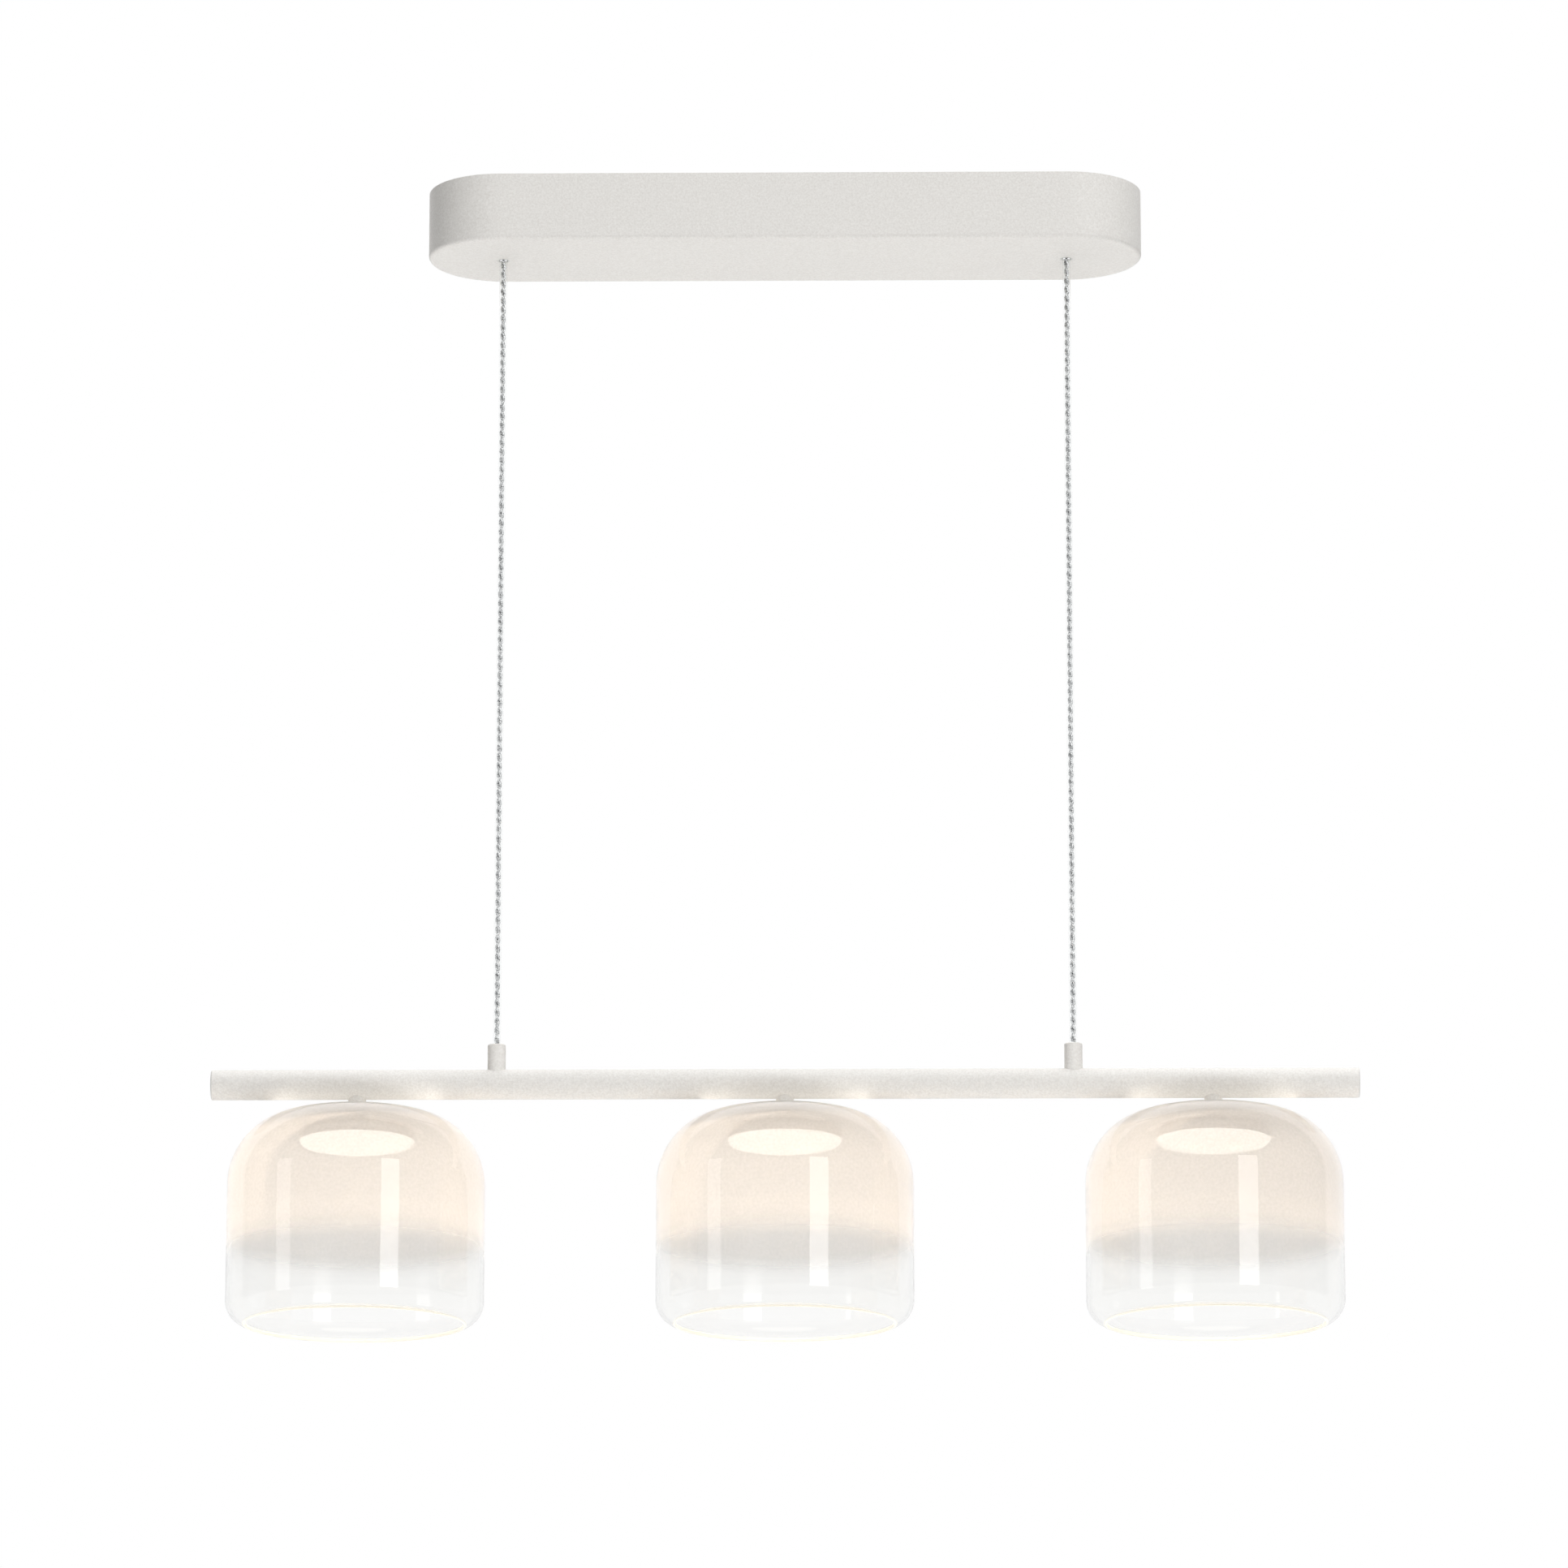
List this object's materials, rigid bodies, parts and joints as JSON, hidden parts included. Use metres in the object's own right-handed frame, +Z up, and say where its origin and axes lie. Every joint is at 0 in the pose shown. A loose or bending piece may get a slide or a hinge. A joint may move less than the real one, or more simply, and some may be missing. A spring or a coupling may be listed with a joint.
{
  "type": "linear island pendant",
  "caption": "Linear island pendant: long round-ended ceiling canopy, straight twin cords and a round bar carrying open glass bell shades with flat LED lamps.",
  "frame": {"origin": "on the ceiling plane, in the middle of the mounting plate's junction box slots", "axes": "+Z up into the ceiling, +X along the bar to its right-hand end as seen from the room, -Y towards the room side that the picture shows"},
  "size_m": [0.915, 0.205, 0.9344],
  "materials": {
    "white_coated_steel": "satin fine-grain powder coat",
    "zinc_plated_steel": "bright zinc plate",
    "graded_glass": "opal at the crown, fading to clear at the rim",
    "opal_lens": "opal, lit warm white",
    "cast_aluminium": "cast, white anodised",
    "white_circuit_board": "white solder mask",
    "white_nylon": "moulded",
    "white_abs": "moulded, fine texture",
    "brass": "turned",
    "silicone": "translucent moulded",
    "clear_cord": "clear jacket over twisted silver conductors",
    "wire_insulation": "extruded"
  },
  "bodies": {
    "root": {"mounting_plate": "zinc_plated_steel", "canopy_cover": "white_coated_steel", "cover_nuts": "zinc_plated_steel", "cover_screws": "white_coated_steel", "stirrup_rivets": "zinc_plated_steel", "gland_nuts": "white_nylon", "led_driver": "white_abs", "driver_screws": "zinc_plated_steel", "terminal_block": "white_abs", "earth_terminal": "brass", "driver_leads": "wire_insulation", "cord_stirrup_left": "zinc_plated_steel", "cord_stirrup_right": "zinc_plated_steel", "cord_gland_left": "white_nylon", "cord_gland_right": "white_nylon", "cord_bush_left": "white_nylon", "cord_bush_right": "white_nylon", "inner_cord_left": "clear_cord", "inner_cord_right": "clear_cord"},
    "cord_bends": {"cord_bend_left": "clear_cord", "cord_bend_right": "clear_cord"},
    "left_cord": {"cord_left": "clear_cord"},
    "right_cord": {"cord_right": "clear_cord"},
    "light_bar": {"bar_tube": "white_coated_steel", "end_cap_left": "white_coated_steel", "end_cap_right": "white_coated_steel", "grip_screws": "white_coated_steel", "bar_wires": "wire_insulation", "saddle_nuts": "zinc_plated_steel", "lock_nuts": "zinc_plated_steel", "board_screws": "zinc_plated_steel", "cord_grip_left": "white_coated_steel", "cord_grip_right": "white_coated_steel", "cord_tail_left": "clear_cord", "cord_tail_right": "clear_cord", "neck_left": "white_coated_steel", "stem_left": "zinc_plated_steel", "upper_gasket_left": "silicone", "shade_left": "graded_glass", "lower_gasket_left": "silicone", "lamp_housing_left": "cast_aluminium", "led_board_left": "white_circuit_board", "lens_left": "opal_lens", "neck_centre": "white_coated_steel", "stem_centre": "zinc_plated_steel", "upper_gasket_centre": "silicone", "shade_centre": "graded_glass", "lower_gasket_centre": "silicone", "lamp_housing_centre": "cast_aluminium", "led_board_centre": "white_circuit_board", "lens_centre": "opal_lens", "neck_right": "white_coated_steel", "stem_right": "zinc_plated_steel", "upper_gasket_right": "silicone", "shade_right": "graded_glass", "lower_gasket_right": "silicone", "lamp_housing_right": "cast_aluminium", "led_board_right": "white_circuit_board", "lens_right": "opal_lens"}
  },
  "joints": [
    {"name": "swing", "type": "hinge", "parent": "root", "child": "cord_bends", "pos_m": [0, 0, -0.0549], "axis": [1, 0, 0], "range_deg": [-15, 15]},
    {"name": "sway", "type": "hinge", "parent": "cord_bends", "child": "left_cord", "pos_m": [-0.23, 0, -0.0569], "axis": [0, 1, 0], "range_deg": [-15, 15]},
    {"name": "right_cord_sway", "type": "hinge", "parent": "cord_bends", "child": "right_cord", "pos_m": [0.23, 0, -0.0569], "axis": [0, 1, 0], "range_deg": [-15, 15]},
    {"name": "bar_level", "type": "hinge", "parent": "left_cord", "child": "light_bar", "pos_m": [-0.23, 0, -0.7096], "axis": [0, 1, 0], "range_deg": [-15, 15]}
  ],
  "couplings": [
    {"joint": "right_cord_sway", "follows": "sway", "ratio": 1},
    {"joint": "bar_level", "follows": "sway", "ratio": -1}
  ]
}
